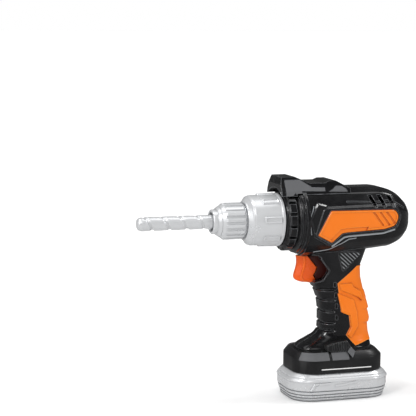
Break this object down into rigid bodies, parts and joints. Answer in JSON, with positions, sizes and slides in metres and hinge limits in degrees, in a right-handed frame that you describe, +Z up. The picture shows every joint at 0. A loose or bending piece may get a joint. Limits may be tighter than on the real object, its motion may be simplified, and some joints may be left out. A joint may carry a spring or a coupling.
{
  "type": "toy power drill",
  "caption": "Pistol-grip toy drill with a turning ribbed chuck, grooved bit, spring trigger and a wide battery base it stands on.",
  "frame": {"origin": "centre of the underside of the battery base, the face it stands on", "axes": "+X forward towards the drill bit, +Y to the drill's left side, +Z up"},
  "size_m": [0.2645, 0.0666, 0.2098],
  "materials": {
    "black_gloss": "gloss",
    "black_matte": "fine satin",
    "dark_grey": "satin",
    "orange": "semi-gloss",
    "trigger_orange": "semi-gloss",
    "silver_plastic": "semi-gloss, silver pigment",
    "white_plastic": "satin",
    "steel": "machined",
    "brass": "plain",
    "cell_jacket": "gloss",
    "board_green": "satin"
  },
  "bodies": {
    "housing": {"left_housing": "black_gloss", "right_housing": "black_gloss", "grip_back_cover": "orange", "left_side_panel": "orange", "right_side_panel": "orange", "left_vent": "black_matte", "right_vent": "black_matte", "top_rail": "black_gloss", "rail_trim_front_left": "dark_grey", "rail_trim_front_right": "dark_grey", "rail_trim_rear_left": "dark_grey", "rail_trim_rear_right": "dark_grey", "front_collar": "black_gloss", "clutch_ring": "black_gloss", "front_bush": "brass", "rear_bush": "brass", "gearbox_rear_plate": "white_plastic", "gearbox_front_plate": "white_plastic", "idler_axle": "steel", "gearbox_screws": "steel", "motor_can": "steel", "motor_end_cap": "white_plastic", "switch_box": "black_matte", "housing_screws": "steel", "battery_tray": "silver_plastic", "battery_door": "silver_plastic", "door_screw": "steel", "base_screws": "steel", "aa_cells": "cell_jacket", "contact_springs": "brass", "contact_plates": "brass", "battery_block": "black_gloss", "left_shoulder_trim": "dark_grey", "right_shoulder_trim": "dark_grey", "left_latch_pad": "black_matte", "right_latch_pad": "black_matte", "circuit_board": "board_green", "sound_chip": "black_matte", "speaker_cone": "black_matte", "speaker_magnet": "steel"},
    "chuck": {"chuck_sleeve": "silver_plastic", "chuck_grip": "silver_plastic", "nose_ring": "silver_plastic", "chuck_core": "silver_plastic", "output_shaft": "steel", "output_gear": "white_plastic"},
    "bit": {"drill_bit": "silver_plastic"},
    "idler": {"idler_gear": "white_plastic"},
    "rotor": {"motor_pinion": "brass", "motor_rotor": "steel"},
    "trigger": {"trigger": "trigger_orange", "trigger_stem": "trigger_orange", "trigger_spring": "steel"}
  },
  "joints": [
    {"name": "chuck_spin", "type": "hinge", "parent": "housing", "child": "chuck", "pos_m": [0, 0, 0.169], "axis": [1, 0, 0], "continuous": true},
    {"name": "idler_spin", "type": "hinge", "parent": "housing", "child": "idler", "pos_m": [0, 0, 0.1546], "axis": [1, 0, 0], "continuous": true},
    {"name": "motor_spin", "type": "hinge", "parent": "housing", "child": "rotor", "pos_m": [0, 0, 0.169], "axis": [1, 0, 0], "continuous": true},
    {"name": "bit_pull", "type": "slide", "parent": "chuck", "child": "bit", "axis": [1, 0, 0], "range_m": [0, 0.028]},
    {"name": "trigger_pull", "type": "slide", "parent": "housing", "child": "trigger", "axis": [-1, 0, 0], "range_m": [0, 0.005], "stiffness_N_per_m": 200, "springref_m": -0.002}
  ],
  "couplings": [
    {"joint": "idler_spin", "follows": "chuck_spin", "ratio": -2},
    {"joint": "motor_spin", "follows": "chuck_spin", "ratio": 7.6}
  ]
}
